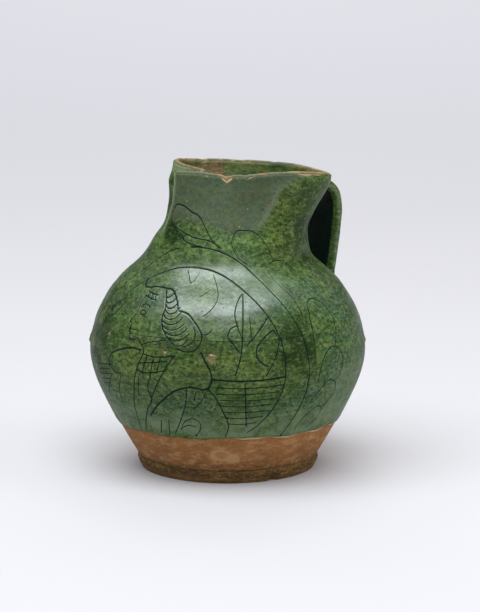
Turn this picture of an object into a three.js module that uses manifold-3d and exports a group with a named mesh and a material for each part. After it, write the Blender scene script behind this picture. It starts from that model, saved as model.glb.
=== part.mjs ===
// A wheel-thrown earthenware jug with a round belly, a pinched three-lobed mouth and one strap handle.
// Red clay sections are luted together: a foot disc, two bowls that meet at the belly, and a neck.
// A pale slip and a green glaze cover the outside down to a line above the foot.
// Millimetres, +Z up. The origin is the middle of the underside, the spout points to -Y, the handle to +Y.
import * as THREE from 'three';
import { mergeVertices } from 'three/addons/utils/BufferGeometryUtils.js';
import Module from 'manifold-3d';

const { smoothstep, lerp, degToRad, euclideanModulo, clamp } = THREE.MathUtils;
const wasm = await Module();
wasm.setup();

// Heights, stacked from the table upwards
const FOOT_HEIGHT = 9;
const LOWER_WALL_RISE = 26;
const BELLY_RISE = 47;
const SHOULDER_RISE = 43;
const NECK_ROOT_RISE = 17;
const NECK_RISE = 16;
const MOUTH_RISE = 39;

// Outer radii of the red clay, and the degrees that the foot's swelling edge turns through
const FOOT_RADIUS = 58;
const FOOT_SWELL = 2.6;
const FOOT_EDGE_TURN = 150;
const WALL_FOOT_RADIUS = 60.2;
const LOWER_WALL_RADIUS = 74.8;
const BELLY_RADIUS = 90.4;
const SHOULDER_RADIUS = 72.3;
const NECK_ROOT_RADIUS = 55.1;
const NECK_RADIUS = 51.9;

// Thicknesses and clearances, and the most that a slanting wall widens a skin when measured level
const WALL = 5.5;
const RIM_WALL = 2.8;
const FLOOR = 6;
const SLIP = 0.5;
const GLAZE = 0.5;
const LINING = 0.6;
const JOINT_GAP = 0.3;
const RIM_CROWN = 0.8;
const MOST_SLANT = 1.8;

// Where the coats start and stop: up from the foot's top, up from the neck's root, and down from the rim
const SLIP_LINE = 22;
const GLAZE_LINE = 24.5;
const LINING_RISE = 13;
const RIM_BARE = 0.8;

// How far down from the rim the pinches and the flared lobes reach
const PINCH_REACH = 57;
const FLARE_REACH = 41;
const LIFT_REACH = 37;

// The far pinch's rim is rolled in towards the mouth: degrees from the spout and to either side, and its size
const TUCK_AT = 288;
const TUCK_SPREAD = 27;
const TUCK_DEPTH = 13.5;
const TUCK_REACH = 12;

// The mouth in plan: degrees from the spout, clay radius, and lift over the rim's level
const MOUTH = [
  { at: 0, radius: 43, lift: 4.3 },
  { at: 9, radius: 39.2, lift: 4.4 },
  { at: 18, radius: 34.2, lift: 4 },
  { at: 32, radius: 32.2, lift: 3 },
  { at: 52, radius: 34.2, lift: 2.8 },
  { at: 78, radius: 40.7, lift: 3.6 },
  { at: 92, radius: 48, lift: 4.8 },
  { at: 104, radius: 55, lift: 4.8 },
  { at: 122, radius: 64.7, lift: 2.4 },
  { at: 138, radius: 67.7, lift: -0.6 },
  { at: 158, radius: 63.7, lift: -1.2 },
  { at: 180, radius: 60.7, lift: -0.5 },
  { at: 205, radius: 60.7, lift: -0.8 },
  { at: 230, radius: 61.7, lift: -0.4 },
  { at: 250, radius: 63.7, lift: 0.2 },
  { at: 266, radius: 61.5, lift: 1.5 },
  { at: 283, radius: 47.8, lift: 1.3 },
  { at: 300, radius: 27, lift: 0.3 },
  { at: 321, radius: 18.5, lift: -1 },
  { at: 340, radius: 28, lift: 0.4 },
  { at: 351, radius: 39, lift: 3.4 },
];

// The strap handle: its section, its middle line, and the clay that lutes its ends
const STRAP_WIDTH = 34;
const STRAP_THICKNESS = 6.6;
const STRAP_ROUNDING = 0.8;
const STRAP_LEAN = 1.6;
const HANDLE_REACH = 84.8;
const HANDLE_BEND = 16;
const SPRING_DROP = 11.8;
const LANDING_DROP = 22;
const LANDING_STANDOFF = 1.5;
const LUTING_THICKNESS = 2.8;
const TOP_LUTING_REACH = 6;
const FOOT_LUTING_REACH = 12;

// Fineness of the facets
const SEGMENTS = 36;
const STRAP_STEPS = 24;
const BEND_STEPS = 3;
const FALL_STEPS = 3;
const FOOT_EDGE_STEPS = 5;
const BARE_ROWS = 2;
const LOWER_ROWS = 4;
const UPPER_ROWS = 5;
const NECK_ROWS = 2;
const MOUTH_ROWS = 6;
const WELD = 1e-3;
const PROBE = 1;

// Levels that the sections share
const LOWER_WALL_LEVEL = FOOT_HEIGHT + LOWER_WALL_RISE;
const BELLY_LEVEL = LOWER_WALL_LEVEL + BELLY_RISE;
const SHOULDER_LEVEL = BELLY_LEVEL + SHOULDER_RISE;
const NECK_ROOT_LEVEL = SHOULDER_LEVEL + NECK_ROOT_RISE;
const NECK_LEVEL = NECK_ROOT_LEVEL + NECK_RISE;
const RIM_LEVEL = NECK_LEVEL + MOUTH_RISE;
const SLIP_LEVEL = FOOT_HEIGHT + SLIP_LINE;
const GLAZE_LEVEL = FOOT_HEIGHT + GLAZE_LINE;
const LINING_LEVEL = NECK_ROOT_LEVEL + LINING_RISE;
const COAT_TOP = RIM_LEVEL - RIM_BARE;

// A smooth curve through stations [x, y], with a gentle end slope
function smoothThrough(stations) {
  const last = stations.length - 1;
  const rise = (i) => (stations[i + 1][1] - stations[i][1]) / (stations[i + 1][0] - stations[i][0]);
  const span = (i) => stations[i + 1][0] - stations[i][0];
  const inner = (i) => (rise(i - 1) * span(i) + rise(i) * span(i - 1)) / (span(i - 1) + span(i));
  const slopes = stations.map((_, i) => (i > 0 && i < last ? inner(i) : 0));
  slopes[0] = 1.5 * rise(0) - 0.5 * slopes[1];
  slopes[last] = 1.5 * rise(last - 1) - 0.5 * slopes[last - 1];
  return (x) => {
    let i = 0;
    while (i < last - 1 && x > stations[i + 1][0]) i++;
    const t = (x - stations[i][0]) / span(i);
    const [y0, y1] = [stations[i][1], stations[i + 1][1]];
    const pull = slopes[i] * (1 - t) - slopes[i + 1] * t;
    return y0 + (y1 - y0) * t * t * (3 - 2 * t) + span(i) * t * (1 - t) * pull;
  };
}

// The same curve run round the mouth, so that it closes on itself
function roundTheMouth(key) {
  const turns = [-360, 0, 360].flatMap((turn) => MOUTH.map((point) => [point.at + turn, point[key]]));
  return smoothThrough(turns);
}

const wallProfile = smoothThrough([
  [FOOT_HEIGHT, WALL_FOOT_RADIUS],
  [LOWER_WALL_LEVEL, LOWER_WALL_RADIUS],
  [BELLY_LEVEL, BELLY_RADIUS],
  [SHOULDER_LEVEL, SHOULDER_RADIUS],
  [NECK_ROOT_LEVEL, NECK_ROOT_RADIUS],
  [NECK_LEVEL, NECK_RADIUS],
  [RIM_LEVEL, NECK_RADIUS],
]);
const mouthRadius = roundTheMouth('radius');
const mouthLift = roundTheMouth('lift');
const nearRim = (z, reach) => smoothstep(z, RIM_LEVEL - reach, RIM_LEVEL);

// How far the rim is rolled in at an angle from the spout
function tuckAt(angle) {
  const away = Math.abs(euclideanModulo(angle - TUCK_AT + 180, 360) - 180);
  return TUCK_DEPTH * smoothstep(TUCK_SPREAD - away, 0, TUCK_SPREAD);
}

// Outer clay radius at an angle from the spout: thrown round, pushed in at the pinches, flared at the lobes
function clayRadius(angle, z) {
  const push = mouthRadius(angle) - NECK_RADIUS;
  const pushed = push * nearRim(z, push < 0 ? PINCH_REACH : FLARE_REACH);
  return wallProfile(z) + pushed - tuckAt(angle) * nearRim(z, TUCK_REACH);
}

const clayLift = (angle, z) => mouthLift(angle) * nearRim(z, LIFT_REACH);

// The wall thins from the neck to the rim
const wallAt = (z) => lerp(WALL, RIM_WALL, smoothstep(z, NECK_LEVEL, RIM_LEVEL));

// Horizontal distance that gives a skin one millimetre of thickness square to the wall
function slant(angle, z) {
  const low = Math.max(z - PROBE, FOOT_HEIGHT);
  const high = Math.min(z + PROBE, RIM_LEVEL);
  const climb = (clayRadius(angle, high) - clayRadius(angle, low)) / (high - low);
  const across = degToRad(2 * PROBE);
  const turn = (clayRadius(angle + PROBE, z) - clayRadius(angle - PROBE, z)) / across;
  return Math.min(Math.hypot(1, climb, turn / clayRadius(angle, z)), MOST_SLANT);
}

// Rows of facets that every clay section and every coat shares, so that the layers nest
function levelsBetween(from, to, rows) {
  return Array.from({ length: rows }, (_, i) => from + ((to - from) * i) / rows);
}
const LEVELS = [
  ...levelsBetween(FOOT_HEIGHT, SLIP_LEVEL, BARE_ROWS),
  SLIP_LEVEL,
  ...levelsBetween(GLAZE_LEVEL, BELLY_LEVEL, LOWER_ROWS),
  ...levelsBetween(BELLY_LEVEL, NECK_ROOT_LEVEL, UPPER_ROWS),
  ...levelsBetween(NECK_ROOT_LEVEL, LINING_LEVEL, NECK_ROWS),
  ...levelsBetween(LINING_LEVEL, COAT_TOP, MOUTH_ROWS),
  COAT_TOP,
  RIM_LEVEL,
];

// One face of a wall from one height to another, a distance out from the clay's outer face at each height
function face(offsetAt, from, to) {
  const between = LEVELS.filter((z) => z > from + JOINT_GAP && z < to - JOINT_GAP);
  return [from, ...between, to].map((z) => ({ offset: offsetAt(z), z }));
}

// Faces that run outside the clay, and faces that run inside it
const outside = (gap) => () => gap;
const inside = (gap) => (z) => -wallAt(z) - gap;

// A closed wall between two faces
function wallSection(innerAt, outerAt, from, to) {
  return [...face(outerAt, from, to), ...face(innerAt, from, to).reverse()];
}

// One closed body from a geometry: shared vertices merged, faces pointing out
function solidOf(geometry) {
  geometry.deleteAttribute('normal');
  geometry.deleteAttribute('uv');
  const merged = mergeVertices(geometry, WELD);
  const corners = merged.index ? [...merged.index.array] : [];
  const spots = merged.attributes.position;
  const triangles = [];
  let volume = 0;
  const [a, b, c] = [new THREE.Vector3(), new THREE.Vector3(), new THREE.Vector3()];
  for (let i = 0; i < corners.length; i += 3) {
    const [p, q, r] = corners.slice(i, i + 3);
    if (p === q || q === r || r === p) continue;
    triangles.push(p, q, r);
    a.fromBufferAttribute(spots, p);
    b.fromBufferAttribute(spots, q);
    c.fromBufferAttribute(spots, r);
    volume += a.dot(b.cross(c));
  }
  if (volume < 0) triangles.reverse();
  return new wasm.Manifold(new wasm.Mesh({
    numProp: 3,
    vertProperties: Float32Array.from(spots.array),
    triVerts: Uint32Array.from(triangles),
  }));
}

function geometryOf(solid) {
  const mesh = solid.getMesh();
  const geometry = new THREE.BufferGeometry();
  geometry.setAttribute('position', new THREE.BufferAttribute(Float32Array.from(mesh.vertProperties), 3));
  geometry.setIndex([...mesh.triVerts]);
  geometry.computeVertexNormals();
  return geometry;
}

// Two triangles for each quad of a turned outline. A falling face has its diagonal the other way round from a
// rising one, so that faces which lie against each other have the same facets
function facets(ring) {
  const corners = [];
  for (let turn = 0; turn < SEGMENTS; turn++) {
    for (let row = 0; row < ring.length - 1; row++) {
      const a = turn * ring.length + row;
      const [b, c, d] = [a + ring.length, a + ring.length + 1, a + 1];
      if (ring[row + 1].z < ring[row].z) corners.push(a, b, c, a, c, d);
      else corners.push(a, b, d, c, d, b);
    }
  }
  return corners;
}

// Turns a closed outline about the jug's axis. A point has a plain radius, or an offset from the clay's face
function thrown(outline) {
  const ring = [...outline, outline[0]];
  const points = ring.map((point) => new THREE.Vector2(point.radius ?? NECK_RADIUS, point.z));
  const geometry = new THREE.LatheGeometry(points, SEGMENTS);
  geometry.rotateX(Math.PI / 2);
  const spots = geometry.attributes.position;
  for (let i = 0; i < spots.count; i++) {
    const { offset, z, crown = 0 } = ring[i % ring.length];
    if (offset === undefined) continue;
    const turn = (Math.floor(i / ring.length) % SEGMENTS) / SEGMENTS;
    const angle = 360 * turn;
    const radius = clayRadius(angle, z) + offset * slant(angle, z);
    const height = z + clayLift(angle, z) + crown;
    spots.setXYZ(i, radius * Math.sin(2 * Math.PI * turn), -radius * Math.cos(2 * Math.PI * turn), height);
  }
  geometry.setIndex(facets(ring));
  return solidOf(geometry);
}

// The foot: a thick disc whose edge swells and overhangs its flat underside
function makeFootDisc() {
  const edge = levelsBetween(0, 1, FOOT_EDGE_STEPS).concat(1).map((share) => ({
    radius: FOOT_RADIUS + FOOT_SWELL * Math.sin(share * degToRad(FOOT_EDGE_TURN)),
    z: share * FOOT_HEIGHT,
  }));
  return thrown([{ radius: 0, z: 0 }, ...edge, { radius: 0, z: FOOT_HEIGHT }]);
}

// The lower bowl, with the jug's floor in it, stands on the foot disc and stops at the belly seam
function makeLowerBowl() {
  const bottom = FOOT_HEIGHT + JOINT_GAP;
  const floorTop = bottom + FLOOR;
  return thrown([
    { radius: 0, z: bottom },
    ...face(outside(0), bottom, BELLY_LEVEL),
    ...face(inside(0), floorTop, BELLY_LEVEL).reverse(),
    { radius: 0, z: floorTop },
  ]);
}

// The upper bowl closes in from the belly seam to the root of the neck
function makeUpperBowl() {
  return thrown(wallSection(inside(0), outside(0), BELLY_LEVEL + JOINT_GAP, NECK_ROOT_LEVEL));
}

// The neck rises from the shoulder and ends in the pinched mouth, with a rounded rim
function makeNeck() {
  const bottom = NECK_ROOT_LEVEL + JOINT_GAP;
  return thrown([
    ...face(outside(0), bottom, RIM_LEVEL),
    { offset: -RIM_WALL / 2, z: RIM_LEVEL, crown: RIM_CROWN },
    ...face(inside(0), bottom, RIM_LEVEL).reverse(),
  ]);
}

// Coats on the outside, and a lining of glaze in the mouth
const SLIP_INNER = JOINT_GAP;
const SLIP_OUTER = SLIP_INNER + SLIP;
const GLAZE_INNER = SLIP_OUTER + JOINT_GAP;
const GLAZE_OUTER = GLAZE_INNER + GLAZE;
const coat = (innerAt, outerAt, from) => thrown(wallSection(innerAt, outerAt, from, COAT_TOP));
const makeSlip = () => coat(outside(SLIP_INNER), outside(SLIP_OUTER), SLIP_LEVEL);
const makeGlaze = () => coat(outside(GLAZE_INNER), outside(GLAZE_OUTER), GLAZE_LEVEL);
const makeLining = () => coat(inside(JOINT_GAP + LINING), inside(JOINT_GAP), LINING_LEVEL);

// The clay's outer form as one filled body with a joint's clearance, which the handle's ends are cut to
function makeVesselForm() {
  const skin = face(outside(JOINT_GAP), FOOT_HEIGHT, RIM_LEVEL);
  return thrown([{ radius: 0, z: FOOT_HEIGHT }, ...skin, { radius: 0, z: RIM_LEVEL }]);
}

// The strap's middle line springs from the neck opposite the spout, bends over in a quarter turn, leans in
// more and more on its way down, and runs on into the shoulder
function makeStrapPath() {
  const behind = 180;
  const spring = RIM_LEVEL - SPRING_DROP;
  const landing = NECK_ROOT_LEVEL - LANDING_DROP;
  const root = clayRadius(behind, spring) - WALL / 2;
  const landed = clayRadius(behind, landing) + LANDING_STANDOFF;
  const elbow = spring - HANDLE_BEND;
  const points = [[root, spring]];
  for (let step = 0; step <= BEND_STEPS; step++) {
    const bent = (Math.PI / 2) * (step / BEND_STEPS);
    const [out, down] = [HANDLE_BEND * (1 - Math.sin(bent)), HANDLE_BEND * (1 - Math.cos(bent))];
    points.push([HANDLE_REACH - out, spring - down]);
  }
  for (let step = 1; step <= FALL_STEPS; step++) {
    const fall = step / FALL_STEPS;
    const lean = (HANDLE_REACH - landed) * fall ** STRAP_LEAN;
    points.push([HANDLE_REACH - lean, elbow + (landing - elbow) * fall]);
  }
  points.push([landed - LANDING_STANDOFF, landing - LANDING_DROP]);
  return new THREE.CatmullRomCurve3(points.map(([y, z]) => new THREE.Vector3(0, y, z)));
}

// A stretch of the strap's middle line, from one share of its length to another
class Stretch extends THREE.Curve {
  constructor(path, from, to) {
    super();
    Object.assign(this, { path, from, to });
  }

  getPoint(t, target = new THREE.Vector3()) {
    return this.path.getPointAt(clamp(this.from + (this.to - this.from) * t, 0, 1), target);
  }
}

// The strap's rounded section, grown by a thickness all round
function strapOutline(Outline, growth) {
  const across = STRAP_WIDTH / 2 + growth;
  const deep = STRAP_THICKNESS / 2 + growth;
  const edge = deep * STRAP_ROUNDING;
  const outline = new Outline();
  outline.moveTo(edge - across, -deep);
  outline.lineTo(across - edge, -deep);
  outline.absarc(across - edge, edge - deep, edge, -Math.PI / 2, 0);
  outline.absarc(across - edge, deep - edge, edge, 0, Math.PI / 2);
  outline.absarc(edge - across, deep - edge, edge, Math.PI / 2, Math.PI);
  outline.absarc(edge - across, edge - deep, edge, Math.PI, 1.5 * Math.PI);
  return outline;
}

function drawnAlong(path, from, to, outer, inner) {
  const shape = strapOutline(THREE.Shape, outer);
  if (inner !== undefined) shape.holes.push(strapOutline(THREE.Path, inner));
  const steps = Math.max(2, Math.round((to - from) * STRAP_STEPS));
  return solidOf(new THREE.ExtrudeGeometry(shape, {
    steps,
    curveSegments: 1,
    bevelEnabled: false,
    extrudePath: new Stretch(path, from, to),
  }));
}

// The handle and what it touches: strap, its glaze, and the clay that lutes both ends to the wall
function makeHandle() {
  const path = makeStrapPath();
  const vessel = makeVesselForm();
  const length = path.getLength();
  const onStep = (share) => Math.round(share * STRAP_STEPS) / STRAP_STEPS;
  const topEnd = onStep((WALL / 2 + TOP_LUTING_REACH) / length);
  const footStart = onStep(1 - (LANDING_DROP + FOOT_LUTING_REACH) / length);
  const clearance = JOINT_GAP / length;
  const strapRoom = drawnAlong(path, 0, 1, JOINT_GAP);
  const taken = vessel.add(strapRoom);
  const luting = (from, to) => drawnAlong(path, from, to, LUTING_THICKNESS).subtract(taken);
  const room = (from, to) => drawnAlong(path, from, to, LUTING_THICKNESS + JOINT_GAP);
  const glazeInner = JOINT_GAP;
  return {
    strap: drawnAlong(path, 0, 1, 0).subtract(vessel),
    glaze: drawnAlong(path, topEnd + clearance, footStart - clearance, glazeInner + GLAZE, glazeInner),
    topLuting: luting(0, topEnd),
    footLuting: luting(footStart, 1),
    rooms: [room(0, topEnd), room(footStart, 1)],
  };
}

const handle = makeHandle();
const roundTheHandle = (skin) => handle.rooms.reduce((left, room) => left.subtract(room), skin);

const finish = (color, roughness) => new THREE.MeshStandardMaterial({ color, roughness, metalness: 0 });
const bareClay = finish(0x9a6a42, 0.9);
const footClay = finish(0x6e4a30, 0.9);
const paleSlip = finish(0xcfc8a6, 0.8);
const greenGlaze = finish(0x4f6b35, 0.2);
const greyGreenGlaze = finish(0x5d6c52, 0.25);

const pieces = [
  ['foot_disc', makeFootDisc(), footClay],
  ['lower_bowl', makeLowerBowl(), bareClay],
  ['upper_bowl', makeUpperBowl(), bareClay],
  ['neck', makeNeck(), bareClay],
  ['slip_coat', roundTheHandle(makeSlip()), paleSlip],
  ['glaze_coat', roundTheHandle(makeGlaze()), greenGlaze],
  ['mouth_lining', makeLining(), greyGreenGlaze],
  ['handle_strap', handle.strap, bareClay],
  ['handle_glaze', handle.glaze, greenGlaze],
  ['handle_top_luting', handle.topLuting, greenGlaze],
  ['handle_foot_luting', handle.footLuting, greenGlaze],
];

const jug = new THREE.Group();
for (const [name, solid, material] of pieces) {
  const mesh = new THREE.Mesh(geometryOf(solid), material);
  mesh.name = name;
  jug.add(mesh);
}

export default jug;
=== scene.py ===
import math

import bpy
import numpy as np
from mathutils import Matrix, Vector, kdtree, noise
from mathutils.geometry import delaunay_2d_cdt


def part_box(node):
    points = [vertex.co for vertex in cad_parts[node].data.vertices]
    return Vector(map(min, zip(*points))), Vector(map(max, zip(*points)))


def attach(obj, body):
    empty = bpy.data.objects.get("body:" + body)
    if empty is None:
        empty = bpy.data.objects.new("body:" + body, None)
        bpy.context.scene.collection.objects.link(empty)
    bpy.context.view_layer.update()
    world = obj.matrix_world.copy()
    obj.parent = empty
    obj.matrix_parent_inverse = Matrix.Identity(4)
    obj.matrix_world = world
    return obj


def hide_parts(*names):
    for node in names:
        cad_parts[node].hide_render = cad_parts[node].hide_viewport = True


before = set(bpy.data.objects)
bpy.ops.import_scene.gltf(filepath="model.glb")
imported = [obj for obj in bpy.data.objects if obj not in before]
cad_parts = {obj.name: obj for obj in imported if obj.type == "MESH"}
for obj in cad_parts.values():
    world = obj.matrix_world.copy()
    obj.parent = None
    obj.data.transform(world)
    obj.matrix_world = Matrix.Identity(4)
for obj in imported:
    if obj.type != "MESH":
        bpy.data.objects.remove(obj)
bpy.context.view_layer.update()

scene = bpy.context.scene


# A green glazed earthenware jug with a pinched mouth, a strap handle and a picture scratched in its slip.
# The clay wall comes first: two thrown bowls that meet at the belly, and a neck luted on top and pinched
# into three lobes. Red earthenware about 5.5 mm thick, fired; bare above the foot and on the worn rim.
MM = 0.001
FOOT_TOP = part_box("foot_disc")[1][2] / MM
BELLY_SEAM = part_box("lower_bowl")[1][2] / MM
NECK_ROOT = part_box("upper_bowl")[1][2] / MM
NECK = 158.0
RIM = 197.0
WALL = 5.5
RIM_WALL = 2.8
FLOOR = 6.0
JOINT = 0.3
RIM_CROWN = 0.8
NECK_RADIUS = 51.9
BELLY_RADIUS = 90.4
MOST_SLANT = 1.8
COLUMNS = 288
angles = np.arange(COLUMNS) * 360 / COLUMNS


def ease(t):
    t = np.clip(t, 0.0, 1.0)
    return t * t * (3 - 2 * t)


def smooth_through(stations):
    xs, ys = np.array(stations, float).T
    spans = np.diff(xs)
    rises = np.diff(ys) / spans
    slopes = np.empty_like(ys)
    slopes[1:-1] = (rises[:-1] * spans[1:] + rises[1:] * spans[:-1]) / (spans[:-1] + spans[1:])
    slopes[0] = 1.5 * rises[0] - 0.5 * slopes[1]
    slopes[-1] = 1.5 * rises[-1] - 0.5 * slopes[-2]

    def curve(x):
        x = np.asarray(x, float)
        i = np.clip(np.searchsorted(xs, x, side="right") - 1, 0, len(spans) - 1)
        t = (x - xs[i]) / spans[i]
        pull = slopes[i] * (1 - t) - slopes[i + 1] * t
        return ys[i] + (ys[i + 1] - ys[i]) * t * t * (3 - 2 * t) + spans[i] * t * (1 - t) * pull
    return curve


wall_line = smooth_through([
    (FOOT_TOP, 60.2), (35, 74.8), (BELLY_SEAM, BELLY_RADIUS), (125, 72.3),
    (NECK_ROOT, 55.1), (NECK, NECK_RADIUS), (RIM, NECK_RADIUS),
])

# The mouth in plan: degrees from the spout, radius, and lift over the rim's level
MOUTH = [
    (0, 43, 4.3), (9, 39.2, 4.4), (18, 34.2, 4), (32, 32.2, 3), (52, 34.2, 2.8), (78, 40.7, 3.6),
    (92, 48, 4.8), (104, 55, 4.8), (122, 64.7, 2.4), (138, 67.7, -0.6), (158, 63.7, -1.2),
    (180, 60.7, -0.5), (205, 60.7, -0.8), (230, 61.7, -0.4), (250, 63.7, 0.2), (266, 61.5, 1.5),
    (283, 47.8, 1.3), (300, 27, 0.3), (321, 18.5, -1), (340, 28, 0.4), (351, 39, 3.4),
]
PINCH_REACH, FLARE_REACH, LIFT_REACH = 57.0, 41.0, 37.0
three_turns = [(at + turn, radius, lift) for turn in (-360, 0, 360) for at, radius, lift in MOUTH]
mouth_radius = smooth_through([(at, radius) for at, radius, _ in three_turns])
mouth_lift = smooth_through([(at, lift) for at, _, lift in three_turns])

# The far pinch's rim is rolled in towards the mouth
TUCK_AT, TUCK_SPREAD, TUCK_DEPTH, TUCK_REACH = 288.0, 27.0, 13.5, 12.0

# Chips in the rim: degrees from the spout, half width in degrees, depth
CHIPS = [(49, 8, 1.3), (69, 4, 0.6), (246, 3, 0.7), (97, 5, 0.4), (222, 5, 0.5), (198, 3, 0.4)]
CHIP_REACH = 8
CHIP_ROUND = 0.8


def turned_from(angle, at):
    return np.abs((np.asarray(angle) - at + 180) % 360 - 180)


def near_rim(z, reach):
    return ease((z - RIM + reach) / reach)


def notched(angle, notches, roundness=1.0):
    return sum(
        depth * np.clip(1 - turned_from(angle, at) / half, 0, 1) ** roundness for at, half, depth in notches
    )


def clay_radius(angle, z):
    push = mouth_radius(angle) - NECK_RADIUS
    pushed = push * np.where(push < 0, near_rim(z, PINCH_REACH), near_rim(z, FLARE_REACH))
    tuck = TUCK_DEPTH * ease(1 - turned_from(angle, TUCK_AT) / TUCK_SPREAD)
    return wall_line(z) + pushed - tuck * near_rim(z, TUCK_REACH)


def on_wall(angle, z, out, crown=0.0):
    angle, z, out = np.broadcast_arrays(np.asarray(angle, float), np.asarray(z, float), out)
    radius = clay_radius(angle, z)
    climb = (clay_radius(angle, np.minimum(z + 1, RIM)) - clay_radius(angle, z - 1)) / 2
    turn = (clay_radius(angle + 1, z) - clay_radius(angle - 1, z)) / math.radians(2) / radius
    radius = radius + out * np.minimum(np.sqrt(1 + climb ** 2 + turn ** 2), MOST_SLANT)
    chipped = notched(angle, CHIPS, CHIP_ROUND) * near_rim(z, CHIP_REACH)
    height = z + mouth_lift(angle) * near_rim(z, LIFT_REACH) - chipped
    around = np.radians(angle)
    return np.stack([radius * np.sin(around), -radius * np.cos(around), height + crown], -1) * MM


def set_out(name, data):
    thing = bpy.data.objects.new(name, data)
    scene.collection.objects.link(thing)
    return thing


def add_piece(name, mesh, nodes=()):
    piece = set_out(name, mesh)
    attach(piece, "root")
    if nodes:
        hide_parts(*nodes)
    return piece


def make_piece(name, points, faces, material, slot, nodes):
    mesh = bpy.data.meshes.new(name)
    mesh.from_pydata(np.asarray(points).tolist(), [], faces)
    mesh.shade_smooth()
    mesh.materials.append(material)
    return add_piece(name, mesh, nodes)


def rings(rows):
    columns = len(rows[0])
    return [range(row * columns, (row + 1) * columns) for row in range(len(rows))]


def banded(loops):
    faces = []
    for low, high in zip(loops, loops[1:]):
        faces += zip(low, [*low[1:], low[0]], [*high[1:], high[0]], high)
    return faces


def turned(rows, closed_ring):
    loops = rings(rows)
    if closed_ring:
        return np.concatenate(rows), banded(loops + loops[:1])
    faces = banded(loops)
    bottom = len(rows) * len(rows[0])
    for a, b, top_b, top_a in banded([loops[0], loops[-1]]):
        faces += [(bottom, b, a), (bottom + 1, top_a, top_b)]
    return np.concatenate([*rows, rows[0].mean(0)[None], rows[-1].mean(0)[None]]), faces


def spots(piece):
    flat = np.empty(3 * len(piece.data.vertices))
    piece.data.vertices.foreach_get("co", flat)
    x, y, z = flat.reshape(-1, 3).T / MM
    return np.degrees(np.arctan2(x, -y)), np.hypot(x, y), z


def paint(piece, name, values):
    layer = piece.data.attributes.new(name, "FLOAT", "POINT")
    layer.data.foreach_set("value", np.asarray(values, np.float32))


def wavering(angle, z, across, up, seed):
    return np.array([noise.noise((across * a, up * h, seed)) for a, h in zip(angle, z)])


def new_material(name, roughness, specular):
    material = bpy.data.materials.new(name)
    material.use_nodes = True
    shader = material.node_tree.nodes["Principled BSDF"]
    shader.inputs["Roughness"].default_value = roughness
    shader.inputs["Specular IOR Level"].default_value = specular
    return material, material.node_tree, shader


def add_node(tree, kind, values=None, **settings):
    node = tree.nodes.new(kind)
    for name, value in settings.items():
        setattr(node, name, value)
    for socket, value in (values or {}).items():
        if isinstance(value, bpy.types.NodeSocket):
            tree.links.new(value, node.inputs[socket])
        else:
            node.inputs[socket].default_value = value
    return node


def out_of(tree, kind, values=None, **settings):
    return add_node(tree, kind, values, **settings).outputs[0]


def sum_of(tree, operation, first, second=0.0):
    return out_of(tree, "ShaderNodeMath", {0: first, 1: second}, operation=operation)


def times(tree, first, *others):
    for other in others:
        first = sum_of(tree, "MULTIPLY", first, other)
    return first


def minus(tree, first, second):
    return sum_of(tree, "SUBTRACT", first, second)


def stepped(tree, value, start, end):
    spread = {"Value": value, "From Min": start, "From Max": end}
    return out_of(tree, "ShaderNodeMapRange", spread, interpolation_type="SMOOTHSTEP")


def coloured(tree, shader, colour):
    tree.links.new(colour, shader.inputs["Base Color"])


def washed(tree, under, mask, strength, over):
    values = {0: times(tree, mask, strength)}
    for socket, colour in ((6, under), (7, over)):
        values[socket] = (*colour, 1.0) if isinstance(colour, tuple) else colour
    return add_node(tree, "ShaderNodeMix", values, data_type="RGBA").outputs[2]


def layered(tree, colour, washes):
    for mask, strength, over in washes:
        colour = washed(tree, colour, mask, strength, over)
    return colour


def painted(tree, name):
    return add_node(tree, "ShaderNodeAttribute", attribute_name=name).outputs["Fac"]


def new_effect(name, sizes):
    effect = bpy.data.node_groups.new(name, "ShaderNodeTree")
    for size, value in sizes.items():
        kind = "NodeSocketVector" if isinstance(value, tuple) else "NodeSocketFloat"
        effect.interface.new_socket(size, in_out="INPUT", socket_type=kind).default_value = value
    effect.interface.new_socket("Mask", in_out="OUTPUT", socket_type="NodeSocketFloat")
    mask = effect.nodes.new("NodeGroupOutput").inputs["Mask"]
    place = add_node(effect, "ShaderNodeTexCoord").outputs["Object"]
    return effect, effect.nodes.new("NodeGroupInput").outputs, place, mask


# Cloudy change of tone that every fired surface has: grain is its size in patches per metre
cloud, entry, place, mask = new_effect("Firing cloud", {
    "Grain": 100.0, "Roughening": 0.6, "Start": 0.4, "End": 0.6, "Stretch": (1, 1, 1),
})
stretched = out_of(cloud, "ShaderNodeVectorMath", {0: place, 1: entry["Stretch"]}, operation="MULTIPLY")
clouds = out_of(cloud, "ShaderNodeTexNoise", {
    "Vector": stretched, "Scale": entry["Grain"], "Roughness": entry["Roughening"], "Detail": 5.0,
})
cloud.links.new(stepped(cloud, clouds, entry["Start"], entry["End"]), mask)

# Scattered specks and pits: few is the share of cells that stay empty
specks, entry, place, mask = new_effect("Specks", {"Grain": 500.0, "Size": 0.25, "Few": 0.7})
cells = add_node(specks, "ShaderNodeTexVoronoi", {"Vector": place, "Scale": entry["Grain"]}).outputs
near = stepped(specks, cells["Distance"], entry["Size"], 0.0)
lot = out_of(specks, "ShaderNodeSeparateColor", {"Color": cells["Color"]})
specks.links.new(times(specks, near, sum_of(specks, "GREATER_THAN", lot, entry["Few"])), mask)


def clouded(tree, effect=cloud, **values):
    values = {name.capitalize(): value for name, value in values.items()}
    return out_of(tree, "ShaderNodeGroup", values, node_tree=effect)


def specked(tree, **values):
    return clouded(tree, specks, **values)


def bumped(tree, shader, height, depth, strength=1.0):
    bump = out_of(tree, "ShaderNodeBump", {"Height": height, "Distance": depth, "Strength": strength})
    tree.links.new(bump, shader.inputs["Normal"])


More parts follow.
